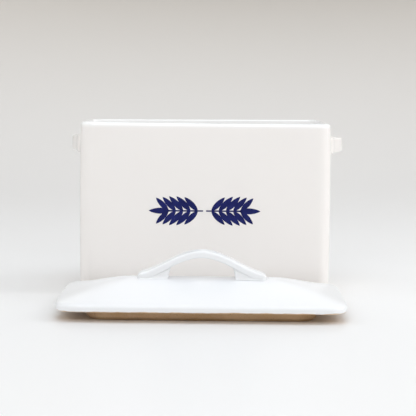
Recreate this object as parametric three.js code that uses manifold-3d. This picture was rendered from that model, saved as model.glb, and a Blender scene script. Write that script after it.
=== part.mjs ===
// Rectangular ceramic bread crock with its lid lying on the table in front of it.
// Millimetres, +Z up, front of the crock towards -Y, origin at the middle of the crock's base.

import * as THREE from 'three';
import * as BufferGeometryUtils from 'three/addons/utils/BufferGeometryUtils.js';
import Module from 'manifold-3d';

const wasm = await Module();
wasm.setup();

// Crock
const CROCK_WIDTH = 340;
const CROCK_DEPTH = 196;
const CROCK_HEIGHT = 233;
const CROCK_CORNER = 17;
const CROCK_WALL = 7;
const LIP_OUTER_EDGE = 4.5;
const LIP_INNER_EDGE = 1.5;
const TIGHTEST_CORNER = 4;
const CROCK_FLOOR = 9;
const FLOOR_FILLET = 9;
const BASE_EDGE = 5;

// Bare clay slab that the crock stands on
const SLAB_HEIGHT = 5;
const SLAB_INSET = 6;
const SLAB_EDGE = 1.2;

// Bow handles: half length over the toes, half width of the opening under the grip, height of the
// arch, and the strap's thickness and width at the grip
const TOP_HANDLE = { halfSpan: 82, opening: 41, rise: 35, thickness: 9, strap: 27 };
const LEFT_HANDLE = { halfSpan: 54, opening: 33, rise: 16.4, thickness: 7, strap: 20 };
const RIGHT_HANDLE = { halfSpan: 54, opening: 33, rise: 22.8, thickness: 7.5, strap: 20 };
const SIDE_CENTRE_Z = 201.3;
const STRAP_EDGE = 3;
const TIP_THICKNESS = 5.2;
const TOE_LENGTH = 6;
const TOE_BLUNTNESS = 0.2;
const FOOT_SPREAD = 0.2;
const FOOT_SINK = 6;
const FOOT_EDGE = 0.4;
const OPENING_CORNER = 2.5;
const BELL_SHARE = 0.62;
const EDGE_SHARE = 0.45;

// Lid
const LID_LENGTH = 358;
const LID_DEPTH = 207;
const BRIM_THICKNESS = 10;
const BRIM_EDGE = 5;
const LID_RISE = 20;
const RIDGE_HALF = 82;
const RIDGE_SOFTNESS = 0.34;
const DOME_SQUARENESS = 3.8;
const BRIM_SQUARENESS = 8;
const LID_SHELL = 8;
const UNDER_EDGE = 2;
const BRIM_TURN = 68;
const DOME_HUB = 0.04;
const DOME_STEPS = 11;
const CEILING_REACH = 0.58;
const CEILING_STEPS = 3;
const HOLLOW_INSET = 2;
const HOLLOW_SIDE = 5;
const DOME_TUCK = 0.8;
const SQUARENESS_ONSET = 10;

// Locating flange under the lid
const FLANGE_HEIGHT = 12;
const FLANGE_LENGTH = 286;
const FLANGE_DEPTH = 170;
const FLANGE_CORNER = 28;
const FLANGE_WALL = 7;
const FLANGE_EDGE = 3;
const FLANGE_FOOT = 2;
const FLANGE_LEAN = 1.5;

// Where the lid lies
const LID_X = -5;
const LID_Y = -220;
const LID_TURN = -1.2;

// Printed wheat ears on the front wall
const PRINT_THICKNESS = 0.3;
const PRINT_CENTRE_X = -1;
const PRINT_CENTRE_Z = 114.6;
const STEM_START = 2;
const STEM_LENGTH = 47;
const STEM_WIDTH = 2.2;
const GRAIN_LENGTH = 30;
const GRAIN_WIDTH = 9.5;
const GRAIN_TILT = 46;
const GRAIN_PITCH = 9.8;
const GRAIN_PAIRS = 5;
const FIRST_GRAIN = 8;
const GRAIN_TAPER = 0.05;
const FULLEST_PAIR = 1.5;
const TIP_OVERLAP = 3;

const GLAZE_GAP = 0.3;

// How finely curves are divided
const QUARTER_STEPS = 10;
const QUARTER_EASING = 0.8;
const EDGE_STEPS = 4;
const STRAP_EDGE_STEPS = 3;
const TOE_STEPS = 5;
const FOOT_STEPS = 5;
const OPENING_CORNER_STEPS = 5;
const HALF_GRIP_STEPS = 7;
const GRAIN_ARC_STEPS = 5;

const glaze = new THREE.MeshStandardMaterial({ color: 0xf3f0ec, roughness: 0.18, metalness: 0 });
const bareClay = new THREE.MeshStandardMaterial({ color: 0xa58a6b, roughness: 0.85, metalness: 0 });
const navyPrint = new THREE.MeshStandardMaterial({ color: 0x141a5a, roughness: 0.3, metalness: 0 });

const toRadians = (degrees) => THREE.MathUtils.degToRad(degrees);

// One turn of parameter angles, closer together beside the axes
function turnAngles() {
  const angles = [];
  for (let quarter = 0; quarter < 4; quarter += 1) {
    for (let step = 0; step < QUARTER_STEPS; step += 1) {
      const part = step / QUARTER_STEPS;
      const eased = part - (QUARTER_EASING * Math.sin(2 * Math.PI * part)) / (2 * Math.PI);
      angles.push((quarter + eased) * (Math.PI / 2));
    }
  }
  return angles;
}

// Superellipse outline whose halves are pulled apart by a straight stretch along X
function pillowOutline(halfX, halfY, straight, squareness) {
  const power = 2 / squareness;
  return turnAngles().map((angle) => {
    const c = Math.cos(angle);
    const s = Math.sin(angle);
    const side = Math.abs(c) < 1e-9 ? 0 : Math.sign(c);
    const x = side * straight + side * (halfX - straight) * Math.abs(c) ** power;
    const y = Math.abs(s) < 1e-9 ? 0 : Math.sign(s) * halfY * Math.abs(s) ** power;
    return new THREE.Vector2(x, y);
  });
}

// Rounded rectangle with the same number of points as a pillow outline
function boxOutline(halfX, halfY, corner) {
  const arcSteps = QUARTER_STEPS - 2;
  const points = [];
  for (let quarter = 0; quarter < 4; quarter += 1) {
    const alongX = quarter === 0 || quarter === 3 ? 1 : -1;
    const alongY = quarter < 2 ? 1 : -1;
    const middle = [new THREE.Vector2(alongX * halfX, 0), new THREE.Vector2(0, alongY * halfY)];
    points.push(middle[quarter % 2]);
    for (let step = 0; step <= arcSteps; step += 1) {
      const angle = (quarter + step / arcSteps) * (Math.PI / 2);
      const x = alongX * (halfX - corner) + corner * Math.cos(angle);
      const y = alongY * (halfY - corner) + corner * Math.sin(angle);
      points.push(new THREE.Vector2(x, y));
    }
  }
  return points;
}

const atHeight = (outline, z) => outline.map((p) => new THREE.Vector3(p.x, p.y, z));

// Closed skin over a stack of rings; it either caps both ends or joins the last ring to the first
function skin(rings, joinsUp = false) {
  const count = rings[0].length;
  const positions = rings.flat().flatMap((p) => [p.x, p.y, p.z]);
  const index = [];
  const bands = joinsUp ? rings.length : rings.length - 1;
  for (let band = 0; band < bands; band += 1) {
    const low = band * count;
    const high = ((band + 1) % rings.length) * count;
    for (let i = 0; i < count; i += 1) {
      const next = (i + 1) % count;
      index.push(low + i, low + next, high + next);
      index.push(low + i, high + next, high + i);
    }
  }
  if (!joinsUp) {
    [0, rings.length - 1].forEach((ring, end) => {
      const middle = new THREE.Vector3();
      rings[ring].forEach((p) => middle.addScaledVector(p, 1 / count));
      const hub = positions.length / 3;
      positions.push(middle.x, middle.y, middle.z);
      for (let i = 0; i < count; i += 1) {
        const here = ring * count + i;
        const next = ring * count + ((i + 1) % count);
        index.push(...(end === 0 ? [hub, next, here] : [hub, here, next]));
      }
    });
  }
  const geometry = new THREE.BufferGeometry();
  geometry.setAttribute('position', new THREE.Float32BufferAttribute(positions, 3));
  geometry.setIndex(index);
  return geometry;
}

function toSolid(geometry) {
  const bare = geometry.clone();
  bare.deleteAttribute('normal');
  bare.deleteAttribute('uv');
  const merged = BufferGeometryUtils.mergeVertices(bare, 1e-4);
  const vertProperties = new Float32Array(merged.attributes.position.array);
  const triVerts = new Uint32Array(merged.index.array);
  return new wasm.Manifold(new wasm.Mesh({ numProp: 3, vertProperties, triVerts }));
}

function toGeometry(solid) {
  const mesh = solid.getMesh();
  const geometry = new THREE.BufferGeometry();
  geometry.setAttribute('position', new THREE.BufferAttribute(mesh.vertProperties, 3));
  geometry.setIndex(new THREE.BufferAttribute(mesh.triVerts, 1));
  return geometry;
}

function named(name, geometry, material) {
  const mesh = new THREE.Mesh(geometry, material);
  mesh.name = name;
  return mesh;
}

// Crock: one skin from under the floor, up the outside, over the lip and down to the inside floor
function crockRing(inset, z) {
  const corner = Math.max(CROCK_CORNER - inset, TIGHTEST_CORNER);
  return atHeight(boxOutline(CROCK_WIDTH / 2 - inset, CROCK_DEPTH / 2 - inset, corner), z);
}

function crockBody() {
  const rings = [];
  const insideZ = SLAB_HEIGHT + CROCK_FLOOR;
  const roundings = [
    (s, c) => [BASE_EDGE * (1 - s), SLAB_HEIGHT + BASE_EDGE * (1 - c)],
    (s, c) => [LIP_OUTER_EDGE * (1 - c), CROCK_HEIGHT - LIP_OUTER_EDGE * (1 - s)],
    (s, c) => [CROCK_WALL - LIP_INNER_EDGE * (1 - s), CROCK_HEIGHT - LIP_INNER_EDGE * (1 - c)],
    (s, c) => [CROCK_WALL + FLOOR_FILLET * (1 - c), insideZ + FLOOR_FILLET * (1 - s)],
  ];
  roundings.forEach((rounding) => {
    for (let step = 0; step <= EDGE_STEPS; step += 1) {
      const angle = (step / EDGE_STEPS) * (Math.PI / 2);
      rings.push(crockRing(...rounding(Math.sin(angle), Math.cos(angle))));
    }
  });
  return named('crock_body', skin(rings), glaze);
}

function baseSlab() {
  const rings = [
    crockRing(SLAB_INSET + SLAB_EDGE, 0),
    crockRing(SLAB_INSET, SLAB_EDGE),
    crockRing(SLAB_INSET, SLAB_HEIGHT),
  ];
  return named('base_slab', skin(rings), bareClay);
}

// Height of the lid's top at a place in the lid's own plan
const LID_TOP = FLANGE_HEIGHT + BRIM_THICKNESS;
const DOME_HALF_X = LID_LENGTH / 2 - BRIM_EDGE * DOME_TUCK;
const DOME_HALF_Y = LID_DEPTH / 2 - BRIM_EDGE * DOME_TUCK;

function domeRise(out) {
  const soft = (value) => Math.hypot(value, RIDGE_SOFTNESS) - RIDGE_SOFTNESS;
  return LID_RISE * (1 - soft(out) / soft(1));
}

function domeHeight(x, y) {
  const endwise = Math.max(Math.abs(x) - RIDGE_HALF, 0) / (DOME_HALF_X - RIDGE_HALF);
  const sideways = Math.abs(y) / DOME_HALF_Y;
  const out = (endwise ** DOME_SQUARENESS + sideways ** DOME_SQUARENESS) ** (1 / DOME_SQUARENESS);
  return LID_TOP + domeRise(out);
}

function domeRing(out, drop) {
  const squareness = THREE.MathUtils.lerp(DOME_SQUARENESS, BRIM_SQUARENESS, out ** SQUARENESS_ONSET);
  const halfX = RIDGE_HALF + (DOME_HALF_X - RIDGE_HALF) * out;
  const outline = pillowOutline(halfX, DOME_HALF_Y * out, RIDGE_HALF, squareness);
  return atHeight(outline, LID_TOP + domeRise(out) - drop);
}

function brimRing(inset, z) {
  const halfX = LID_LENGTH / 2 - inset;
  return atHeight(pillowOutline(halfX, LID_DEPTH / 2 - inset, RIDGE_HALF, BRIM_SQUARENESS), z);
}

const flangeOutline = (inset) =>
  boxOutline(FLANGE_LENGTH / 2 - inset, FLANGE_DEPTH / 2 - inset, FLANGE_CORNER - inset);

// Lid: hollow under the dome inside the flange, flat under the brim, rounded edge, hipped dome
function lidPlate() {
  const rings = [];
  for (let step = 0; step <= CEILING_STEPS; step += 1) {
    const out = THREE.MathUtils.lerp(DOME_HUB, CEILING_REACH, step / CEILING_STEPS);
    rings.push(domeRing(out, LID_SHELL));
  }
  const hollowEdge = flangeOutline(FLANGE_WALL + HOLLOW_INSET);
  rings.push(atHeight(hollowEdge, FLANGE_HEIGHT + HOLLOW_SIDE));
  rings.push(atHeight(hollowEdge, FLANGE_HEIGHT));
  for (let step = 0; step <= EDGE_STEPS; step += 1) {
    const angle = (step / EDGE_STEPS) * (Math.PI / 2);
    const inset = UNDER_EDGE * (1 - Math.sin(angle));
    rings.push(brimRing(inset, FLANGE_HEIGHT + UNDER_EDGE * (1 - Math.cos(angle))));
  }
  for (let step = 0; step <= EDGE_STEPS; step += 1) {
    const angle = toRadians((BRIM_TURN * step) / EDGE_STEPS);
    const z = LID_TOP - BRIM_EDGE * (1 - Math.sin(angle));
    rings.push(brimRing(BRIM_EDGE * (1 - Math.cos(angle)), z));
  }
  for (let step = 1; step <= DOME_STEPS; step += 1) {
    const part = step / DOME_STEPS;
    rings.push(domeRing(THREE.MathUtils.lerp(1, DOME_HUB, part), 0));
  }
  return named('lid_plate', skin(rings), glaze);
}

// Flange: a standing ring, its outside leaning in a little towards its rounded foot
function lidFlange() {
  const edgeWidth = (FLANGE_WALL - FLANGE_LEAN - FLANGE_FOOT) / 2;
  const rings = [atHeight(flangeOutline(FLANGE_WALL), FLANGE_HEIGHT)];
  for (let step = 0; step <= EDGE_STEPS; step += 1) {
    const angle = (step / EDGE_STEPS) * (Math.PI / 2);
    const inset = FLANGE_WALL - edgeWidth * (1 - Math.cos(angle));
    rings.push(atHeight(flangeOutline(inset), FLANGE_EDGE * (1 - Math.sin(angle))));
  }
  for (let step = 0; step <= EDGE_STEPS; step += 1) {
    const angle = (step / EDGE_STEPS) * (Math.PI / 2);
    const inset = FLANGE_LEAN + edgeWidth * (1 - Math.sin(angle));
    rings.push(atHeight(flangeOutline(inset), FLANGE_EDGE * (1 - Math.cos(angle))));
  }
  rings.push(atHeight(flangeOutline(0), FLANGE_HEIGHT));
  return named('lid_flange', skin(rings, true), bareClay);
}

// Where a bow handle is cut across, from one toe to the other: closer together at its toes and at
// the ends of its grip opening
function bowStations(halfSpan, opening) {
  const half = [];
  const addRun = (from, to, steps) => {
    for (let step = 0; step < steps; step += 1) {
      half.push(THREE.MathUtils.lerp(from, to, step / steps));
    }
  };
  addRun(halfSpan, halfSpan - TOE_LENGTH, TOE_STEPS);
  addRun(halfSpan - TOE_LENGTH, opening + OPENING_CORNER, FOOT_STEPS);
  addRun(opening + OPENING_CORNER, opening - OPENING_CORNER, OPENING_CORNER_STEPS);
  addRun(opening - OPENING_CORNER, 0, HALF_GRIP_STEPS);
  return [...half.map((u) => -u), 0, ...half.reverse()];
}

// Across a bow handle: a rounded strap over its opening, solid down to the seat over its feet
function bowSection(halfWide, top, under, edge, underEdge, seatAt) {
  const points = [];
  const addCorner = (sideways, upward, radius) => {
    const centre = [sideways * (halfWide - radius), upward > 0 ? top - radius : under + radius];
    for (let step = 0; step <= STRAP_EDGE_STEPS; step += 1) {
      const turn = (step / STRAP_EDGE_STEPS) * (Math.PI / 2);
      const swing = sideways === upward ? turn : Math.PI / 2 - turn;
      const v = centre[0] + sideways * radius * Math.cos(swing);
      const h = centre[1] + upward * radius * Math.sin(swing);
      points.push([v, h]);
    }
  };
  addCorner(1, 1, edge);
  addCorner(-1, 1, edge);
  addCorner(-1, -1, underEdge);
  points.push([-halfWide / 3, under], [halfWide / 3, under]);
  addCorner(1, -1, underEdge);
  return points.map(([v, h]) => [v, Math.max(h, seatAt(v))]);
}

// A bow handle: a clay strap bent into a bell-shaped arch with solid feet smoothed down onto its seat.
// u runs toe to toe, v across the strap, h away from the surface; seat(u, v) is the surface.
function bowHandle(size, seat, place) {
  const rings = bowStations(size.halfSpan, size.opening).map((u) => {
    const part = Math.abs(u) / size.halfSpan;
    const bell = Math.cos((Math.PI / 2) * part) ** 2;
    const arch = BELL_SHARE * bell + (1 - BELL_SHARE) * (1 - part ** 2);
    const intoToe = Math.max(0, (Math.abs(u) - (size.halfSpan - TOE_LENGTH)) / TOE_LENGTH);
    const toe = Math.max(Math.sqrt(1 - intoToe ** 2), TOE_BLUNTNESS);
    const fullTop = size.rise * arch + TIP_THICKNESS * part ** 2;
    const ground = seat(u, 0);
    const top = ground + (fullTop - ground) * toe;
    const start = size.opening - OPENING_CORNER;
    const solid = THREE.MathUtils.smoothstep(Math.abs(u), start, start + 2 * OPENING_CORNER);
    const under = THREE.MathUtils.lerp(top - size.thickness, ground - FOOT_SINK, solid);
    const toeWidth = THREE.MathUtils.lerp(TOE_BLUNTNESS, 1, toe);
    const halfWide = (size.strap / 2) * (1 + FOOT_SPREAD * part ** 3) * toeWidth;
    const thickness = top - Math.max(under, ground);
    const edge = Math.min(STRAP_EDGE, thickness * EDGE_SHARE, halfWide * EDGE_SHARE);
    const underEdge = Math.max(edge * (1 - solid), FOOT_EDGE);
    const section = bowSection(halfWide, top, under, edge, underEdge, (v) => seat(u, v));
    return section.map(([v, h]) => place(u, v, h));
  });
  return skin(rings);
}

function lidHandle() {
  const crest = domeHeight(0, 0);
  const seat = (u, v) => domeHeight(u, v) - crest + GLAZE_GAP;
  const place = (u, v, h) => new THREE.Vector3(u, v, h + crest);
  return named('lid_handle', bowHandle(TOP_HANDLE, seat, place), glaze);
}

function sideHandle(name, side, size) {
  const seat = () => 0;
  const place = (u, v, h) => new THREE.Vector3(side * (CROCK_WIDTH / 2 + h), u, SIDE_CENTRE_Z + side * v);
  return named(name, bowHandle(size, seat, place), glaze);
}

// Pointed grain outline standing on its base, drawn as two arcs
function grainShape(length, width) {
  const radius = (length ** 2 + width ** 2) / (4 * width);
  const reach = Math.asin(length / (2 * radius));
  const shape = new THREE.Shape();
  shape.moveTo(0, 0);
  shape.absarc(radius - width / 2, length / 2, radius, Math.PI + reach, Math.PI - reach, true);
  shape.absarc(width / 2 - radius, length / 2, radius, reach, -reach, true);
  return shape;
}

function printSolid(shape, turn, x, y) {
  const settings = { depth: PRINT_THICKNESS, bevelEnabled: false, curveSegments: GRAIN_ARC_STEPS };
  const flat = new THREE.ExtrudeGeometry(shape, settings);
  flat.rotateZ(turn);
  flat.translate(x, y, 0);
  return toSolid(flat);
}

// A wheat ear lying on its side: a stem with leaning pairs of grains and one grain at its tip
function wheatEar(name, side) {
  const stem = new THREE.Shape();
  stem.moveTo(STEM_START, -STEM_WIDTH / 2);
  stem.lineTo(STEM_LENGTH + STEM_START, -STEM_WIDTH / 2);
  stem.lineTo(STEM_LENGTH + STEM_START, STEM_WIDTH / 2);
  stem.lineTo(STEM_START, STEM_WIDTH / 2);
  let ear = printSolid(stem, 0, 0, 0);
  const upright = -Math.PI / 2;
  for (let pair = 0; pair < GRAIN_PAIRS; pair += 1) {
    const start = FIRST_GRAIN + pair * GRAIN_PITCH;
    const taper = 1 - GRAIN_TAPER * Math.abs(pair - FULLEST_PAIR);
    [-1, 1].forEach((lean) => {
      const grain = grainShape(GRAIN_LENGTH * taper, GRAIN_WIDTH * taper);
      ear = ear.add(printSolid(grain, upright + lean * toRadians(GRAIN_TILT), start, 0));
    });
  }
  const last = grainShape(GRAIN_LENGTH, GRAIN_WIDTH);
  ear = ear.add(printSolid(last, upright, STEM_START + STEM_LENGTH - TIP_OVERLAP, 0));
  const mesh = named(name, toGeometry(ear), navyPrint);
  mesh.position.set(PRINT_CENTRE_X, -CROCK_DEPTH / 2, PRINT_CENTRE_Z);
  mesh.rotation.set(Math.PI / 2, 0, side < 0 ? Math.PI : 0);
  return mesh;
}

const crock = new THREE.Group();
crock.add(crockBody());
crock.add(baseSlab());
crock.add(sideHandle('crock_handle_left', -1, LEFT_HANDLE));
crock.add(sideHandle('crock_handle_right', 1, RIGHT_HANDLE));
crock.add(wheatEar('wheat_ear_left', -1));
crock.add(wheatEar('wheat_ear_right', 1));

const lid = new THREE.Group();
lid.add(lidPlate());
lid.add(lidFlange());
lid.add(lidHandle());
lid.position.set(LID_X, LID_Y, 0);
lid.rotation.z = toRadians(LID_TURN);

const breadBin = new THREE.Group();
breadBin.add(crock);
breadBin.add(lid);

export default breadBin;
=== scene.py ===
"""Looks for a ceramic bread crock with its lid lying in front of it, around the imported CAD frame."""

import math

import bmesh
import bpy
import numpy as np
from mathutils import Matrix, Vector


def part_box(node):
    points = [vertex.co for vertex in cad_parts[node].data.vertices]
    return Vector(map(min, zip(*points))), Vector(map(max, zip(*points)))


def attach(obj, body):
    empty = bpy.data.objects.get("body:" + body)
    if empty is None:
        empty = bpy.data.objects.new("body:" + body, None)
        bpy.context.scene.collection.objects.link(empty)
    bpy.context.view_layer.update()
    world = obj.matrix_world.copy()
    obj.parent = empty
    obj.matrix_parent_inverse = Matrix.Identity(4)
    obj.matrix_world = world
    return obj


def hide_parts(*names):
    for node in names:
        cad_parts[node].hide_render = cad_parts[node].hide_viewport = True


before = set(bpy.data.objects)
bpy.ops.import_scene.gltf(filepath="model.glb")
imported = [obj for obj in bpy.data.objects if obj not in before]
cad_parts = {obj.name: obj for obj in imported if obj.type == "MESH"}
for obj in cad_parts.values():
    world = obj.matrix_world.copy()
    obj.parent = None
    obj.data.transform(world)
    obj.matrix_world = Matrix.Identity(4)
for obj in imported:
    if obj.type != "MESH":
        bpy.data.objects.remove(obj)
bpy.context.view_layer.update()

MM = 0.001

# Sizes that the frame's boxes can't give, in metres
WALL = 7 * MM
LIP_OUTER_ROUND = 4.6 * MM
LIP_INNER_ROUND = 2 * MM
BASE_ROUND = 5 * MM
CORNER = 17 * MM
INSIDE_FILLET = 9 * MM
LID_TURN = math.radians(-1.2)
LID_LENGTH = 357.9 * MM
LID_DEPTH = 206.9 * MM
LID_THICK_EDGE = 10 * MM
LID_EDGE_ROUND = 5 * MM
LID_RISE = 20 * MM
LID_SHELL = 8 * MM
RIDGE_HALF = 82 * MM
RIDGE_SOFTNESS = 0.34
DOME_SQUARENESS = 3.8
BRIM_SQUARENESS = 8
FLANGE_LENGTH = 286 * MM
FLANGE_DEPTH = 170 * MM
FLANGE_CORNER = 28 * MM
FLANGE_WALL = 7 * MM

crock_low, crock_high = (Vector(corner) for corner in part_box("crock_body"))
slab_low, slab_high = (Vector(corner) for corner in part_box("base_slab"))
flange_low, flange_high = (Vector(corner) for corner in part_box("lid_flange"))
HALF_X = crock_high.x
HALF_Y = crock_high.y
RIM_Z = crock_high.z
BASE_Z = crock_low.z
LID_CENTRE = (flange_low + flange_high) / 2
FLANGE_Z = flange_high.z
LID_TOP = FLANGE_Z + LID_THICK_EDGE
DOME_TUCK = 0.8
DOME_HALF_X = LID_LENGTH / 2 - LID_EDGE_ROUND * DOME_TUCK
DOME_HALF_Y = LID_DEPTH / 2 - LID_EDGE_ROUND * DOME_TUCK


# ---------------------------------------------------------------- camera

# The camera that the photo was fitted with; its focal length is in widths of its sensor
SENSOR_MM = 36
LENS_WIDTHS = 3.5577
CAMERA_PLACE = Vector((-0.025, -2.078, 0.3004))
CAMERA_PITCH = math.radians(5.242)
CAMERA_YAW = math.radians(0.827)
CAMERA_ROLL = math.radians(0.54)


def make_camera():
    forward = Vector(
        (
            math.sin(CAMERA_YAW) * math.cos(CAMERA_PITCH),
            math.cos(CAMERA_YAW) * math.cos(CAMERA_PITCH),
            -math.sin(CAMERA_PITCH),
        )
    )
    level_right = Vector((math.cos(CAMERA_YAW), -math.sin(CAMERA_YAW), 0))
    level_up = level_right.cross(forward)
    right = level_right * math.cos(CAMERA_ROLL) + level_up * math.sin(CAMERA_ROLL)
    up = right.cross(forward)
    data = bpy.data.cameras.new("camera")
    data.sensor_width = SENSOR_MM
    data.lens = LENS_WIDTHS * SENSOR_MM
    camera = bpy.data.objects.new("camera", data)
    turn = Matrix((right, up, -forward)).transposed()
    camera.matrix_world = Matrix.Translation(CAMERA_PLACE) @ turn.to_4x4()
    bpy.context.scene.collection.objects.link(camera)
    bpy.context.scene.camera = camera


make_camera()


# ---------------------------------------------------------------- mesh helpers


def loft(name, rings, joins_up=False):
    """A closed skin over a stack of rings of points: a fan closes each end, or the ends join up."""
    count = len(rings[0])
    points = [tuple(p) for ring in rings for p in ring]
    faces = []
    bands = len(rings) if joins_up else len(rings) - 1
    for band in range(bands):
        low = band * count
        high = ((band + 1) % len(rings)) * count
        for i in range(count):
            n = (i + 1) % count
            faces.append((low + i, low + n, high + n, high + i))
    if not joins_up:
        for ring, turned in ((0, True), (len(rings) - 1, False)):
            hub = len(points)
            points.append(tuple(np.mean(rings[ring], axis=0)))
            for i in range(count):
                a = ring * count + i
                b = ring * count + (i + 1) % count
                faces.append((hub, b, a) if turned else (hub, a, b))
    mesh = bpy.data.meshes.new(name)
    mesh.from_pydata(points, [], faces)
    mesh.update()
    mesh.shade_smooth()
    piece = bpy.data.objects.new(name, mesh)
    bpy.context.scene.collection.objects.link(piece)
    return piece


def lid_place(points):
    """Points in the lid's own plan to where the lid lies."""
    points = np.asarray(points, dtype=float)
    c, s = math.cos(LID_TURN), math.sin(LID_TURN)
    x = c * points[..., 0] - s * points[..., 1] + LID_CENTRE.x
    y = s * points[..., 0] + c * points[..., 1] + LID_CENTRE.y
    return np.stack([x, y, points[..., 2]], axis=-1)


def box_outline(half_x, half_y, corner, arc=12, side=16):
    """Rounded rectangle as an array of x, y, counter-clockwise from the back end of its right side."""
    points = []
    for quarter in range(4):
        sx = 1 if quarter in (0, 3) else -1
        sy = 1 if quarter < 2 else -1
        centre = (sx * (half_x - corner), sy * (half_y - corner))
        arc_points = []
        for step in range(arc + 1):
            angle = (quarter + step / arc) * math.pi / 2
            x = centre[0] + corner * math.cos(angle)
            y = centre[1] + corner * math.sin(angle)
            arc_points.append((x, y))
        points.extend(arc_points)
        if quarter % 2 == 0:
            end = (-sx * (half_x - corner), sy * half_y)
        else:
            end = (sx * half_x, -sy * (half_y - corner))
        start = arc_points[-1]
        for step in range(1, side):
            part = step / side
            x = start[0] + (end[0] - start[0]) * part
            y = start[1] + (end[1] - start[1]) * part
            points.append((x, y))
    return np.array(points)


QUARTER_EASING = 0.8


def pillow_outline(half_x, half_y, straight, squareness, count=128):
    """Superellipse whose halves are pulled apart by a straight stretch along x."""
    part = np.arange(count) / count * 4
    quarter = np.floor(part)
    within = part - quarter
    eased = within - QUARTER_EASING * np.sin(2 * math.pi * within) / (2 * math.pi)
    angle = (quarter + eased) * math.pi / 2
    c, s = np.cos(angle), np.sin(angle)
    c[np.abs(c) < 1e-9] = 0
    s[np.abs(s) < 1e-9] = 0
    power = 2 / squareness
    x = np.sign(c) * (straight + (half_x - straight) * np.abs(c) ** power)
    y = np.sign(s) * half_y * np.abs(s) ** power
    return np.stack([x, y], axis=-1)


def at_height(outline, z):
    return np.column_stack([outline, np.full(len(outline), z)])


def quarter_turn(steps):
    """Sine and cosine of each step over a quarter turn."""
    angles = [k / steps * math.pi / 2 for k in range(steps + 1)]
    return [(math.sin(angle), math.cos(angle)) for angle in angles]


def finish_piece(piece, body, node, material):
    """Give a piece its material, the body that it moves with and the CAD node that it replaces."""
    piece.data.materials.clear()
    piece.data.materials.append(material)
    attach(piece, body)
    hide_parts(node)


# ---------------------------------------------------------------- node helpers


# The Mix node's colour sockets, which share their names with its number and vector sockets
COLOUR_A = 6
COLOUR_B = 7
COLOUR_RESULT = 2


class Shader:
    """A material's node tree, with short calls for the nodes that these materials use."""

    def __init__(self, name):
        self.material = bpy.data.materials.new(name)
        self.material.use_nodes = True
        self.tree = self.material.node_tree
        self.tree.nodes.clear()
        output = self.tree.nodes.new("ShaderNodeOutputMaterial")
        self.surface = self.tree.nodes.new("ShaderNodeBsdfPrincipled")
        self.join(self.surface.outputs["BSDF"], output.inputs["Surface"])
        coordinates = self.tree.nodes.new("ShaderNodeTexCoord")
        self.place = coordinates.outputs["Object"]

    def join(self, source, target):
        self.tree.links.new(source, target)

    def set(self, **values):
        for name, value in values.items():
            self.surface.inputs[name.replace("_", " ")].default_value = value

    def noise(self, scale, detail=3.0, roughness=0.5):
        node = self.tree.nodes.new("ShaderNodeTexNoise")
        node.inputs["Scale"].default_value = scale
        node.inputs["Detail"].default_value = detail
        node.inputs["Roughness"].default_value = roughness
        self.join(self.place, node.inputs["Vector"])
        return node.outputs["Fac"]

    def specks(self, scale):
        node = self.tree.nodes.new("ShaderNodeTexVoronoi")
        node.inputs["Scale"].default_value = scale
        self.join(self.place, node.inputs["Vector"])
        return node.outputs["Distance"]

    def remap(self, value, low, high, to_low=0.0, to_high=1.0):
        node = self.tree.nodes.new("ShaderNodeMapRange")
        node.inputs["From Min"].default_value = low
        node.inputs["From Max"].default_value = high
        node.inputs["To Min"].default_value = to_low
        node.inputs["To Max"].default_value = to_high
        self.join(value, node.inputs["Value"])
        return node.outputs["Result"]

    def axis(self, name):
        node = self.tree.nodes.new("ShaderNodeSeparateXYZ")
        self.join(self.place, node.inputs["Vector"])
        return node.outputs[name]

    def math(self, kind, a, b):
        node = self.tree.nodes.new("ShaderNodeMath")
        node.operation = kind
        for socket, value in zip(node.inputs, (a, b)):
            if isinstance(value, (int, float)):
                socket.default_value = value
            else:
                self.join(value, socket)
        return node.outputs["Value"]

    def mix(self, factor, a, b):
        node = self.tree.nodes.new("ShaderNodeMix")
        node.data_type = "RGBA"
        self.join(factor, node.inputs["Factor"])
        for socket, value in ((node.inputs[COLOUR_A], a), (node.inputs[COLOUR_B], b)):
            if isinstance(value, tuple):
                socket.default_value = (*value, 1)
            else:
                self.join(value, socket)
        return node.outputs[COLOUR_RESULT]

    def bump(self, height, distance, strength=1.0, after=None):
        node = self.tree.nodes.new("ShaderNodeBump")
        node.inputs["Distance"].default_value = distance
        node.inputs["Strength"].default_value = strength
        self.join(height, node.inputs["Height"])
        if after:
            self.join(after, node.inputs["Normal"])
        return node.outputs["Normal"]


# ---------------------------------------------------------------- materials


COAT_WEIGHT = 0.5
COAT_ROUGHNESS = 0.14
RUSTY_PINHOLE = (0.42, 0.34, 0.24)
MASK_BLEND = 1.5 * MM
RIM_MASK = (8 * MM, 3 * MM)
GLAZE_LINE_WANDER = 0.6 * MM
GLAZE_LINE_BLEND = 0.8 * MM


def glaze_nodes(shader, thick, thin):
    """White glaze: thick and thin are its tones where it pools and where it is drawn thin."""
    clouds = shader.remap(shader.noise(5, 2, 0.5), 0, 1)
    base = shader.mix(clouds, thick, thin)
    pinholes = shader.remap(shader.specks(45), 0.012, 0.024, 1.0, 0.0)
    scattered = shader.remap(shader.noise(9, 2), 0.5, 0.62)
    iron = shader.math("MULTIPLY", pinholes, scattered)
    coloured = shader.mix(shader.math("MULTIPLY", iron, 0.16), base, RUSTY_PINHOLE)
    rough = shader.remap(shader.noise(20, 2), 0, 1, 0.28, 0.38)
    slow = shader.bump(shader.noise(11, 1), 0.5 * MM, 0.3)
    peel = shader.bump(shader.noise(240, 2), 0.03 * MM, 0.3, slow)
    return coloured, rough, shader.bump(iron, -0.1 * MM, 0.5, peel), slow


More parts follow.
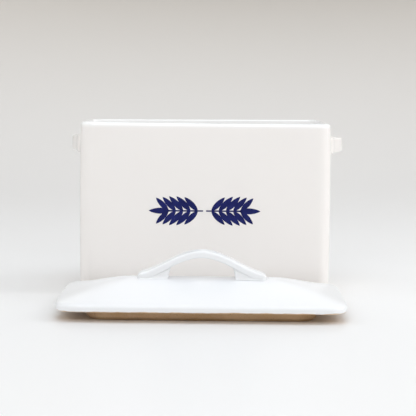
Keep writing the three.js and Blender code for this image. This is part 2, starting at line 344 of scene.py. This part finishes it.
def set_glaze(shader, coloured, rough, normal, slow):
    shader.join(coloured, shader.surface.inputs["Base Color"])
    shader.join(rough, shader.surface.inputs["Roughness"])
    shader.join(normal, shader.surface.inputs["Normal"])
    shader.join(slow, shader.surface.inputs["Coat Normal"])
    shader.set(Coat_Weight=COAT_WEIGHT, Coat_Roughness=COAT_ROUGHNESS, Coat_IOR=1.45)
    shader.set(Specular_IOR_Level=0.3)


def inside_mask(shader):
    """One inside the crock's mouth and on its rim, where light and a highlight are painted; zero on its
    outer walls.
    """
    across = shader.math("ABSOLUTE", shader.axis("X"), 0)
    along = shader.math("ABSOLUTE", shader.axis("Y"), 0)
    reach_x = shader.remap(across, HALF_X - WALL, HALF_X - WALL + MASK_BLEND, 1.0, 0.0)
    reach_y = shader.remap(along, HALF_Y - WALL, HALF_Y - WALL + MASK_BLEND, 1.0, 0.0)
    rim = shader.remap(shader.axis("Z"), RIM_Z - RIM_MASK[0], RIM_Z - RIM_MASK[1])
    return shader.math("MAXIMUM", rim, shader.math("MULTIPLY", reach_x, reach_y))


def glaze_material(name, thick, thin, bare_below=None, lit_inside=None):
    """Glaze all over; bare clay below bare_below and, where given, a paler white painted inside the crock
    and on its rim as painted light.
    """
    shader = Shader(name)
    coloured, rough, normal, slow = glaze_nodes(shader, thick, thin)
    # Painted light: a paler white on the inner walls and a painted highlight along the rim
    if lit_inside:
        coloured = shader.mix(inside_mask(shader), coloured, lit_inside)
    if bare_below:
        wander = shader.remap(shader.noise(60, 2), 0.3, 0.7, -GLAZE_LINE_WANDER, GLAZE_LINE_WANDER)
        height = shader.math("ADD", shader.axis("Z"), wander)
        glazed = shader.remap(height, bare_below, bare_below + GLAZE_LINE_BLEND)
        clay_tone, clay_rough = clay_nodes(shader)
        coloured = shader.mix(glazed, clay_tone, coloured)
        bare = shader.remap(glazed, 0, 1, 1.0, 0.0)
        rough = shader.math("MAXIMUM", rough, shader.math("MULTIPLY", clay_rough, bare))
        coat = shader.remap(glazed, 0, 1, 0.0, COAT_WEIGHT)
        shader.join(coat, shader.surface.inputs["Coat Weight"])
    set_glaze(shader, coloured, rough, normal, slow)
    return shader.material


BUFF_CLAY = (0.72, 0.5, 0.31)
TOASTED_CLAY = (0.57, 0.36, 0.19)
SAND = (0.76, 0.62, 0.45)
IRON_SPECK = (0.12, 0.07, 0.04)


def clay_nodes(shader):
    """Bare buff stoneware: matt, sandy, with iron specks and darker toasted patches."""
    toasted = shader.remap(shader.noise(22, 4, 0.6), 0.35, 0.7)
    ground = shader.mix(toasted, BUFF_CLAY, TOASTED_CLAY)
    grain = shader.remap(shader.noise(900, 2), 0.35, 0.65)
    sandy = shader.mix(shader.math("MULTIPLY", grain, 0.3), ground, SAND)
    iron = shader.remap(shader.specks(420), 0.1, 0.22, 1.0, 0.0)
    scattered = shader.remap(shader.noise(150, 1), 0.52, 0.62)
    specks = shader.math("MULTIPLY", iron, scattered)
    coloured = shader.mix(shader.math("MULTIPLY", specks, 0.7), sandy, IRON_SPECK)
    return coloured, shader.remap(grain, 0, 1, 0.72, 0.92)


def clay_material():
    shader = Shader("bare_clay")
    coloured, rough = clay_nodes(shader)
    coarse = shader.bump(shader.noise(160, 3), 0.5 * MM, 0.5)
    normal = shader.bump(shader.noise(1100, 2), 0.15 * MM, 0.7, coarse)
    shader.join(coloured, shader.surface.inputs["Base Color"])
    shader.join(rough, shader.surface.inputs["Roughness"])
    shader.join(normal, shader.surface.inputs["Normal"])
    shader.set(Specular_IOR_Level=0.25)
    return shader.material


DARK_INK = (0.006, 0.009, 0.085)
PALE_INK = (0.012, 0.018, 0.13)
INK_PINHOLE = (0.5, 0.5, 0.6)


def print_material():
    """Navy transfer fired under the glaze: dense, faintly mottled, with a few pinholes to the white."""
    shader = Shader("navy_print")
    mottled = shader.remap(shader.noise(130, 3), 0.3, 0.7)
    ink = shader.mix(mottled, DARK_INK, PALE_INK)
    holes = shader.remap(shader.specks(700), 0.04, 0.1, 1.0, 0.0)
    rare = shader.remap(shader.noise(300, 1), 0.62, 0.7)
    coloured = shader.mix(shader.math("MULTIPLY", holes, rare), ink, INK_PINHOLE)
    shader.join(coloured, shader.surface.inputs["Base Color"])
    shader.join(shader.remap(mottled, 0, 1, 0.29, 0.4), shader.surface.inputs["Roughness"])
    slow = shader.bump(shader.noise(14, 1), 1.2 * MM, 0.35)
    shader.join(slow, shader.surface.inputs["Normal"])
    shader.join(slow, shader.surface.inputs["Coat Normal"])
    shader.set(Coat_Weight=0.18, Coat_Roughness=COAT_ROUGHNESS, Coat_IOR=1.4)
    shader.set(Specular_IOR_Level=0.1)
    return shader.material


# Crock and lid share one white glaze; the crock's warmer tones and the lid's cooler tones are painted
# light
WARM_WHITE = (0.9, 0.872, 0.85)
THIN_WARM_WHITE = (0.885, 0.85, 0.822)
# Paler white for inside the crock and its rim: painted light and highlight, not a glaze colour
PAINTED_LIGHT_WHITE = (0.96, 0.955, 0.95)
LIT_COOL_WHITE = (0.885, 0.895, 0.91)
THIN_LIT_COOL_WHITE = (0.875, 0.885, 0.9)
LID_GLAZE_LINE = FLANGE_Z + 0.6 * MM

CROCK_GLAZE = glaze_material("crock_glaze", WARM_WHITE, THIN_WARM_WHITE, lit_inside=PAINTED_LIGHT_WHITE)
LID_GLAZE = glaze_material("lid_glaze", LIT_COOL_WHITE, THIN_LIT_COOL_WHITE, bare_below=LID_GLAZE_LINE)
CLAY = clay_material()
NAVY = print_material()


# ---------------------------------------------------------------- crock

BARREL_TOP = 1.1 * MM
BARREL_BOTTOM = 0.8 * MM
SIDE_BOW = 0.7 * MM
WAVE = 0.2 * MM
WIDEST = 0.5
RIM_DROPS = {
    "front_left": 0.1 * MM,
    "front_right": 0.9 * MM,
    "back_left": 2.8 * MM,
    "back_right": 0.8 * MM,
}
RIM_SAG = 0.7 * MM
TIGHTEST_CORNER = 4 * MM
INSIDE_FLOOR = 9 * MM
OUTER_WALL_STEPS = 22
INNER_WALL_STEPS = 16


def drawn_in(x, y, z):
    """How far the outer wall stands inside its widest plane: a barrel, bowed sides and hand waviness."""
    height = (z - BASE_Z) / (RIM_Z - BASE_Z)
    above = np.clip((height - WIDEST) / (1 - WIDEST), 0, 1)
    below = np.clip((WIDEST - height) / WIDEST, 0, 1)
    barrel = BARREL_TOP * above**2 + BARREL_BOTTOM * below**2
    along = np.minimum(np.abs(x) / HALF_X, 1) ** 4 + np.minimum(np.abs(y) / HALF_Y, 1) ** 4
    wave = 0.5 + 0.25 * np.sin(x * 31 + z * 17) + 0.25 * np.sin(z * 43 - y * 29 + 1.3)
    return barrel + SIDE_BOW * np.clip(along - 1, 0, 1) + WAVE * wave


def rim_drop(x, y):
    """The fired rim isn't level: how far it stands below the CAD's rim."""
    right = 0.5 + 0.5 * x / HALF_X
    back = 0.5 + 0.5 * y / HALF_Y
    front_edge = RIM_DROPS["front_left"] * (1 - right) + RIM_DROPS["front_right"] * right
    back_edge = RIM_DROPS["back_left"] * (1 - right) + RIM_DROPS["back_right"] * right
    sag = RIM_SAG * (1 - (x / HALF_X) ** 2) * (1 - back)
    return front_edge * (1 - back) + back_edge * back + sag


def crock_ring(inset, z):
    corner = max(CORNER - inset, TIGHTEST_CORNER)
    flat = box_outline(HALF_X - inset, HALF_Y - inset, corner)
    pull = drawn_in(flat[:, 0], flat[:, 1], z)
    scale_x = 1 - pull / HALF_X
    scale_y = 1 - pull / HALF_Y
    x, y = flat[:, 0] * scale_x, flat[:, 1] * scale_y
    lift = np.clip((z - BASE_Z) / (RIM_Z - BASE_Z), 0, 1) ** 3
    return np.column_stack([x, y, z - rim_drop(flat[:, 0], flat[:, 1]) * lift])


def make_crock():
    inside_z = BASE_Z + INSIDE_FLOOR
    rings = []
    for s, c in quarter_turn(6):
        rings.append(crock_ring(BASE_ROUND * (1 - s), BASE_Z + BASE_ROUND * (1 - c)))
    for z in np.linspace(BASE_Z + BASE_ROUND, RIM_Z - LIP_OUTER_ROUND, OUTER_WALL_STEPS)[1:-1]:
        rings.append(crock_ring(0, z))
    for s, c in quarter_turn(10):
        rings.append(crock_ring(LIP_OUTER_ROUND * (1 - c), RIM_Z - LIP_OUTER_ROUND * (1 - s)))
    for s, c in quarter_turn(6):
        rings.append(crock_ring(WALL - LIP_INNER_ROUND * (1 - s), RIM_Z - LIP_INNER_ROUND * (1 - c)))
    for z in np.linspace(RIM_Z - LIP_INNER_ROUND, inside_z + INSIDE_FILLET, INNER_WALL_STEPS)[1:-1]:
        rings.append(crock_ring(WALL, z))
    for s, c in quarter_turn(6):
        rings.append(crock_ring(WALL + INSIDE_FILLET * (1 - c), inside_z + INSIDE_FILLET * (1 - s)))
    finish_piece(loft("crock", rings), "crock", "crock_body", CROCK_GLAZE)


make_crock()


# ---------------------------------------------------------------- bow handles


def handle_size(half_span, opening, rise, thickness, strap):
    """Half length over the toes, half the grip opening, height, and the strap's thickness and width."""
    return {
        "half_span": half_span * MM,
        "opening": opening * MM,
        "rise": rise * MM,
        "thickness": thickness * MM,
        "strap": strap * MM,
    }


TOP_HANDLE = handle_size(82, 41, 34.8, 9, 27)
LEFT_HANDLE = handle_size(54, 33, 16.2, 7, 20)
RIGHT_HANDLE = handle_size(54, 33, 22.6, 7.5, 20)
BELL_SHARE = 0.62
TIP_THICKNESS = 5.2 * MM
TOE_LENGTH = 7 * MM
OPENING_CORNER = 2.5 * MM
FOOT_SPREAD = 0.2
WEB_INSET = 1.1 * MM
FOOT_FILLET = 3 * MM
JOINT_DEPTH = 0.15 * MM
STRAP_EDGE = 3.4 * MM
EDGE_SHARE = 0.46
UNDER_EDGE_SHARE = 0.55
FILLET_SHARE = 0.6
TOE_BLUNTNESS = 0.12
TOE_WIDTH = 0.45
FOOT_THICKENING = 0.1
THINNEST = 0.3 * MM
CROWN = 0.5 * MM
CROWN_DEPTH = 0.1 * MM
HANDLE_Z = sum(corner[2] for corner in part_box("crock_handle_left")) / 2


def smooth_step(value, start, end):
    part = min(max((value - start) / (end - start), 0), 1)
    return part * part * (3 - 2 * part)


def handle_stations(size):
    """Where a bow handle is cut across: closest at its toes and at the ends of its grip opening."""
    toe_start = size["half_span"] - TOE_LENGTH
    toe = [toe_start + TOE_LENGTH * s for s, c in quarter_turn(9)][::-1]
    foot = np.linspace(toe_start, size["opening"] + OPENING_CORNER, 14)[1:]
    corner = np.linspace(size["opening"] + OPENING_CORNER, size["opening"] - OPENING_CORNER, 13)[1:]
    arch = np.linspace(size["opening"] - OPENING_CORNER, 0, 22)[1:-1]
    half = [*toe, *foot, *corner, *arch]
    return [-u for u in half] + [0.0] + half[::-1]


def half_section(half_wide, top, under, ground, solid, edge):
    """From the top's middle down one side to the underside's middle: strap, web, fillet and footprint."""
    low_edge = edge * UNDER_EDGE_SHARE
    points = [(part * (half_wide - edge), top) for part in (0.0, 0.35, 0.7)]
    points += [(half_wide - edge * (1 - s), top - edge * (1 - c)) for s, c in quarter_turn(7)]
    points += [(half_wide, (top - edge + under + low_edge) / 2)]
    for s, c in quarter_turn(5):
        points.append((half_wide - low_edge * (1 - c), under + low_edge * (1 - s)))
    web = half_wide - WEB_INSET
    fillet = min(FOOT_FILLET, max(top - ground, 0) * FILLET_SHARE)
    foot = [(web, under - (under - ground - fillet) * part) for part in (0.0, 0.4, 0.8)]
    foot += [(web + fillet * (1 - c), ground + fillet * (1 - s)) for s, c in quarter_turn(6)]
    foot += [((web + fillet) * part, ground - JOINT_DEPTH) for part in (1.0, 0.6, 0.25)]
    grip_width = half_wide - low_edge
    for index, (v, h) in enumerate(foot):
        across = grip_width * (1 - (index + 1) / (len(foot) + 1))
        points.append((across + (v - across) * solid, under + (h - under) * solid))
    return points


def bow_rings(size, seat, skew=0.0):
    """A pulled clay strap bent into a bell-shaped bow, its feet filled in and smoothed onto the seat."""
    rings = []
    for u in handle_stations(size):
        part = abs(u) / size["half_span"]
        bell = math.cos(math.pi / 2 * part) ** 2
        arch = BELL_SHARE * bell + (1 - BELL_SHARE) * (1 - part**2)
        ground = float(seat(u, 0))
        into_toe = max(0, (abs(u) - size["half_span"] + TOE_LENGTH) / TOE_LENGTH)
        toe = max(math.sqrt(max(0, 1 - into_toe**2)), TOE_BLUNTNESS)
        top = ground + (size["rise"] * arch + TIP_THICKNESS * part**2 - ground) * toe
        foot_start = size["opening"] - OPENING_CORNER
        solid = smooth_step(abs(u), foot_start, foot_start + 2 * OPENING_CORNER)
        full_thickness = size["thickness"] * (1 + FOOT_THICKENING * part)
        thickness = min(full_thickness, max(top - ground, THINNEST))
        toe_width = TOE_WIDTH + (1 - TOE_WIDTH) * toe
        half_wide = size["strap"] / 2 * (1 + FOOT_SPREAD * part**3) * toe_width
        edge = min(STRAP_EDGE, thickness * EDGE_SHARE)
        half = half_section(half_wide, top, top - thickness, ground, solid, edge)
        outline = half + [(-v, h) for v, h in half[-1:0:-1]]
        ring = []
        for v, h in outline:
            crown = CROWN * (v / half_wide) ** 2 if h > top - CROWN_DEPTH else 0
            surface = float(seat(u, v))
            down = solid * min(max((top - h) / max(top - ground, CROWN_DEPTH), 0), 1)
            height = h - crown + (surface - ground) * down
            ring.append((u, v + skew * u, max(height, surface - JOINT_DEPTH)))
        rings.append(ring)
    return np.array(rings)


def make_side_handle(name, node, side, size):
    def seat(u, v):
        return -drawn_in(np.array(side * HALF_X), np.array(u), HANDLE_Z - side * v)

    rings = bow_rings(size, seat)
    heights = HALF_X + rings[..., 2]
    placed = np.stack([side * heights, rings[..., 0], HANDLE_Z - side * rings[..., 1]], axis=-1)
    finish_piece(loft(name, placed), "crock", node, CROCK_GLAZE)


make_side_handle("left_handle", "crock_handle_left", -1, LEFT_HANDLE)
make_side_handle("right_handle", "crock_handle_right", 1, RIGHT_HANDLE)


# ---------------------------------------------------------------- lid

TOP_SKEW = -0.02
SQUARENESS_ONSET = 10
DOME_HUB = 0.03
DOME_EDGE = 0.985
CEILING_REACH = 0.58
HOLLOW_INSET = 2 * MM
HOLLOW_SIDE = 5 * MM
HOLLOW_EDGE = 1 * MM
BRIM_RINGS = (16 * MM, 8 * MM)
UNDER_ROUND = 2.2 * MM
EDGE_DEGREES = range(0, 70, 8)
LID_WAVE = 0.12 * MM
LID_WAVE_FADE = 3


def dome_rise(out):
    """Height of the dome above its edge, from nought at the ridge to one at the edge."""

    def soft(value):
        return np.hypot(value, RIDGE_SOFTNESS) - RIDGE_SOFTNESS

    return LID_RISE * (1 - soft(out) / soft(1.0))


def dome_height(x, y):
    endwise = max(abs(x) - RIDGE_HALF, 0) / (DOME_HALF_X - RIDGE_HALF)
    sideways = abs(y) / DOME_HALF_Y
    out = (endwise**DOME_SQUARENESS + sideways**DOME_SQUARENESS) ** (1 / DOME_SQUARENESS)
    return LID_TOP + dome_rise(out)


def dome_ring(out, drop):
    squareness = DOME_SQUARENESS + (BRIM_SQUARENESS - DOME_SQUARENESS) * out**SQUARENESS_ONSET
    half_x = RIDGE_HALF + (DOME_HALF_X - RIDGE_HALF) * out
    outline = pillow_outline(half_x, DOME_HALF_Y * out, RIDGE_HALF, squareness)
    wave = LID_WAVE * (np.sin(outline[:, 0] * 37 + 0.7) + np.sin(outline[:, 1] * 53) - 2)
    ring = at_height(outline, LID_TOP + dome_rise(out) - drop)
    ring[:, 2] += wave * min(1, LID_WAVE_FADE * (1 - out)) * (1 if drop == 0 else 0)
    return ring


def brim_ring(inset, z):
    half_x = LID_LENGTH / 2 - inset
    half_y = LID_DEPTH / 2 - inset
    return at_height(pillow_outline(half_x, half_y, RIDGE_HALF, BRIM_SQUARENESS), z)


def flange_outline(inset):
    half_x = FLANGE_LENGTH / 2 - inset
    half_y = FLANGE_DEPTH / 2 - inset
    return box_outline(half_x, half_y, FLANGE_CORNER - inset, arc=16)


def hollow_outline(like):
    """Outline of the hollow's edge, with a point in the same direction as each point of the ring like."""
    hollow = flange_outline(FLANGE_WALL + HOLLOW_INSET)
    angles = np.arctan2(hollow[:, 1] / FLANGE_DEPTH, hollow[:, 0] / FLANGE_LENGTH)
    target = np.arctan2(like[:, 1] / FLANGE_DEPTH, like[:, 0] / FLANGE_LENGTH)
    order = np.argsort(angles)
    return np.column_stack(
        [np.interp(target, angles[order], hollow[order, k], period=2 * math.pi) for k in (0, 1)]
    )


def make_lid():
    rings = [dome_ring(out, LID_SHELL) for out in np.linspace(DOME_HUB, CEILING_REACH, 14)]
    hollow = hollow_outline(rings[-1])
    rings.append(at_height(hollow, FLANGE_Z + HOLLOW_SIDE))
    rings.append(at_height(hollow, FLANGE_Z + HOLLOW_EDGE))
    rings.append(at_height(hollow * (1 + HOLLOW_EDGE / FLANGE_DEPTH), FLANGE_Z))
    rings += [brim_ring(inset, FLANGE_Z) for inset in BRIM_RINGS]
    for s, c in quarter_turn(5):
        rings.append(brim_ring(UNDER_ROUND * (1 - s), FLANGE_Z + UNDER_ROUND * (1 - c)))
    for degrees in EDGE_DEGREES:
        angle = math.radians(degrees)
        inset = LID_EDGE_ROUND * (1 - math.cos(angle))
        rings.append(brim_ring(inset, LID_TOP - LID_EDGE_ROUND * (1 - math.sin(angle))))
    for out in np.linspace(DOME_EDGE, DOME_HUB, 36):
        rings.append(dome_ring(out, 0))
    piece = loft("lid", lid_place(np.array(rings)))
    finish_piece(piece, "lid", "lid_plate", LID_GLAZE)


# Across the flange: inset from its outer face and height, both in millimetres, from the lid down the
# outer face, round the undercut foot and back up the inner face; the heights are scaled to the CAD's
FLANGE_PROFILE = [
    (0.2, 12.0), (0.5, 8.5), (1.0, 5.5), (1.4, 3.8), (2.0, 2.7), (3.0, 2.0), (4.1, 1.6), (4.5, 1.0),
    (4.7, 0.0), (5.7, 0.0), (6.3, 0.5), (6.8, 1.6), (7.0, 3.4), (7.0, 8.0), (7.0, 12.0),
]
FLANGE_HEIGHT = 12
FLANGE_CLEARANCE = 0.3 * MM
FLANGE_WOBBLE = 0.25 * MM


def make_flange():
    rings = []
    for inset, height in reversed(FLANGE_PROFILE):
        outline = flange_outline(inset * MM)
        share = height / FLANGE_HEIGHT
        wobble = FLANGE_WOBBLE * np.sin(outline[:, 0] * 47 + outline[:, 1] * 61) * share
        outline = outline * (1 - (FLANGE_CLEARANCE + wobble)[:, None] / FLANGE_DEPTH)
        rings.append(at_height(outline, share * FLANGE_Z))
    piece = loft("flange", lid_place(np.array(rings)), joins_up=True)
    finish_piece(piece, "lid", "lid_flange", CLAY)


def make_lid_handle():
    crest = dome_height(0, 0)

    def seat(u, v):
        return dome_height(u, v) - crest

    rings = bow_rings(TOP_HANDLE, seat, TOP_SKEW)
    rings[..., 2] += crest
    piece = loft("lid_grip", lid_place(rings[:, ::-1]))
    finish_piece(piece, "lid", "lid_handle", LID_GLAZE)


make_lid()
make_flange()
make_lid_handle()


# ---------------------------------------------------------------- printed wheat ears

PRINT_THICK = 0.125 * MM
PRINT_CLEARANCE = 0.05 * MM
STEM_START = 2 * MM
STEM_LENGTH = 47 * MM
STEM_WIDTH = 2.2 * MM
GRAIN_LENGTH = 30 * MM
GRAIN_WIDTH = 9.5 * MM
GRAIN_TILT = math.radians(46)
GRAIN_PITCH = 9.8 * MM
GRAIN_PAIRS = 5
FIRST_GRAIN = 8 * MM
TIP_OVERLAP = 3 * MM
GRAIN_TAPER = 0.05
FULLEST_PAIR = 1.5
GRAIN_FILL = (0.93, 0.86)
GRAIN_SHIFT = 1.2 * MM
TIP_FILL = (0.97, 0.85)
STEM_HALF_WIDTHS = (0.4, 0.5)


def grain_outline(length, width, steps=14):
    """A pointed grain from its base at the origin to its tip on +x."""
    along = np.linspace(0, 1, steps + 1)
    half = width / 2 * (np.sin(math.pi * along**0.9)) ** 0.75
    upper = np.column_stack([along * length, half])
    lower = np.column_stack([along[-2:0:-1] * length, -half[-2:0:-1]])
    return np.vstack([upper, lower])


def turned(points, angle, x):
    c, s = math.cos(angle), math.sin(angle)
    along = c * points[:, 0] - s * points[:, 1] + x
    return np.column_stack([along, s * points[:, 0] + c * points[:, 1]])


def ear_patches():
    """Flat outlines of a wheat ear along +x: its stem, its pairs of grains and the one at its tip."""
    near, far = (share * STEM_WIDTH for share in STEM_HALF_WIDTHS)
    stem_end = STEM_START + STEM_LENGTH
    patches = [np.array([(stem_end, -far), (stem_end, far), (STEM_START, near), (STEM_START, -near)])]
    for pair in range(GRAIN_PAIRS):
        start = FIRST_GRAIN + pair * GRAIN_PITCH
        size = 1 - GRAIN_TAPER * abs(pair - FULLEST_PAIR)
        for lean in (-1, 1):
            length, width = GRAIN_LENGTH * size, GRAIN_WIDTH * size
            grain = grain_outline(length * GRAIN_FILL[0], width * GRAIN_FILL[1])
            patches.append(turned(grain, lean * GRAIN_TILT, start + GRAIN_SHIFT))
    tip = grain_outline(GRAIN_LENGTH * TIP_FILL[0], GRAIN_WIDTH * TIP_FILL[1])
    patches.append(turned(tip, 0, stem_end - TIP_OVERLAP))
    return patches


def make_ear(name, node, side):
    """The patches given a thickness, just clear of the wall so that none of it pokes through them."""
    low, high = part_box(node)
    centre_z = (low[2] + high[2]) / 2
    centre_x = high[0] + STEM_START if side < 0 else low[0] - STEM_START
    mesh = bpy.data.meshes.new(name)
    build = bmesh.new()
    for patch in ear_patches():
        ring = [build.verts.new((side * p[0] + centre_x, 0, centre_z + p[1])) for p in patch]
        build.faces.new(ring)
    bmesh.ops.triangulate(build, faces=build.faces[:])
    for vertex in build.verts:
        x, z = vertex.co.x, vertex.co.z
        pull = float(drawn_in(np.array(x), np.array(-HALF_Y), z))
        vertex.co.y = -HALF_Y + pull - PRINT_CLEARANCE
    bmesh.ops.recalc_face_normals(build, faces=build.faces[:])
    grown = bmesh.ops.extrude_face_region(build, geom=build.faces[:])
    for element in grown["geom"]:
        if isinstance(element, bmesh.types.BMVert):
            element.co.y -= PRINT_THICK
    bmesh.ops.recalc_face_normals(build, faces=build.faces[:])
    # The extrusion leaves its side faces in an order that changes from run to run
    in_order = sorted(build.faces, key=lambda face: tuple(face.calc_center_median()))
    for index, face in enumerate(in_order):
        face.index = index
    build.faces.sort()
    build.to_mesh(mesh)
    build.free()
    piece = bpy.data.objects.new(name, mesh)
    bpy.context.scene.collection.objects.link(piece)
    finish_piece(piece, "crock", node, NAVY)


make_ear("ear_left", "wheat_ear_left", -1)
make_ear("ear_right", "wheat_ear_right", 1)


# ---------------------------------------------------------------- base slab

SLAB_ROUND = 1.2 * MM


def make_slab():
    """Bare clay slab under the crock: its lower edge is rubbed round, its upper edge meets the crock."""
    corner = CORNER - (HALF_X - slab_high.x)
    rings = []
    for s, c in quarter_turn(5):
        inset = SLAB_ROUND * (1 - s)
        outline = box_outline(slab_high.x - inset, slab_high.y - inset, corner - inset)
        rings.append(at_height(outline, slab_low.z + SLAB_ROUND * (1 - c)))
    rings.append(at_height(box_outline(slab_high.x, slab_high.y, corner), slab_high.z))
    finish_piece(loft("slab", rings), "crock", "base_slab", CLAY)


make_slab()


# ---------------------------------------------------------------- stage and light


# The backdrop darkens and warms with height: painted shade standing in for light falling off up the wall
FLOOR_TONE = (0.88, 0.88, 0.88)
BACKDROP_TONE = (0.64, 0.61, 0.57)
BACKDROP_TONE_HEIGHT = 0.6


def stage_material():
    shader = Shader("stage")
    # Painted shade: the colour darkens towards the backdrop tone with height
    tone = shader.remap(shader.axis("Z"), 0.0, BACKDROP_TONE_HEIGHT)
    coloured = shader.mix(tone, FLOOR_TONE, BACKDROP_TONE)
    shader.join(coloured, shader.surface.inputs["Base Color"])
    shader.join(shader.remap(shader.noise(3), 0, 1, 0.34, 0.42), shader.surface.inputs["Roughness"])
    shader.set(Specular_IOR_Level=0.5)
    return shader.material


def make_stage():
    """A round floor, just under the base slab, that bends up into a wall all the way round."""
    centre_y = -0.1
    drop = 0.2 * MM
    flat_radius = 2.0
    bend = 2.6
    wall_top = 5.0
    profile = [(0.0, 0.0), (0.7, 0.0), (1.4, 0.0)]
    profile += [(flat_radius + bend * s, bend * (1 - c)) for s, c in quarter_turn(16)]
    profile.append((flat_radius + bend, wall_top))
    around = 96
    points = []
    for radius, z in profile:
        for k in range(around):
            angle = k / around * 2 * math.pi
            points.append((radius * math.cos(angle), radius * math.sin(angle) + centre_y, z - drop))
    faces = []
    for band in range(len(profile) - 1):
        for k in range(around):
            n = (k + 1) % around
            low, high = band * around, (band + 1) * around
            faces.append((low + k, high + k, high + n, low + n))
    mesh = bpy.data.meshes.new("stage")
    mesh.from_pydata(points, [], faces)
    build = bmesh.new()
    build.from_mesh(mesh)
    bmesh.ops.remove_doubles(build, verts=build.verts[:], dist=1e-5)
    bmesh.ops.recalc_face_normals(build, faces=build.faces[:])
    build.to_mesh(mesh)
    build.free()
    mesh.shade_smooth()
    mesh.materials.append(stage_material())
    stage = bpy.data.objects.new("stage", mesh)
    bpy.context.scene.collection.objects.link(stage)


def area_light(name, place, target, size, power, colour):
    data = bpy.data.lights.new(name, "AREA")
    data.shape = "RECTANGLE"
    data.size, data.size_y = size
    data.energy = power
    data.color = colour
    light = bpy.data.objects.new(name, data)
    light.location = place
    light.rotation_euler = (Vector(target) - Vector(place)).to_track_quat("-Z", "Y").to_euler()
    bpy.context.scene.collection.objects.link(light)


WORLD_COLOUR = (1.0, 0.99, 0.975)
WORLD_STRENGTH = 0.235
# Each light's name, place, target, size, power and colour
LIGHTS = (
    ("overhead", (0.1, -0.3, 2.1), (0.0, -0.1, 0.0), (2.2, 1.6), 17, (0.9, 1.0, 1.1)),
    ("back_high", (0.3, 3.1, 1.8), (0.0, 0.0, 0.2), (4.0, 1.8), 13, (1, 1, 1)),
    ("front_mid", (0.0, -2.7, 1.75), (0.0, 0.0, 0.15), (3.0, 0.8), 36, (1, 1, 1)),
    ("right", (1.9, -0.2, 1.2), (0.0, 0.0, 0.1), (1.4, 1.6), 22, (1, 1, 1)),
    ("left", (-1.9, -0.2, 1.2), (0.0, 0.0, 0.1), (1.4, 1.6), 11, (1, 1, 1)),
    ("backdrop", (0.0, 1.9, 2.6), (0.0, 4.0, 0.7), (4.0, 0.8), 30, (1, 1, 1)),
)


def make_light():
    world = bpy.data.worlds.new("studio")
    world.use_nodes = True
    background = world.node_tree.nodes["Background"]
    background.inputs["Color"].default_value = (*WORLD_COLOUR, 1)
    background.inputs["Strength"].default_value = WORLD_STRENGTH
    bpy.context.scene.world = world
    for name, place, target, size, power, colour in LIGHTS:
        area_light(name, place, target, size, power, colour)


make_stage()
make_light()
bpy.context.scene.view_settings.view_transform = "Standard"
bpy.context.scene.view_settings.look = "None"
bpy.context.scene.view_settings.exposure = 0
bpy.context.scene.view_settings.gamma = 1
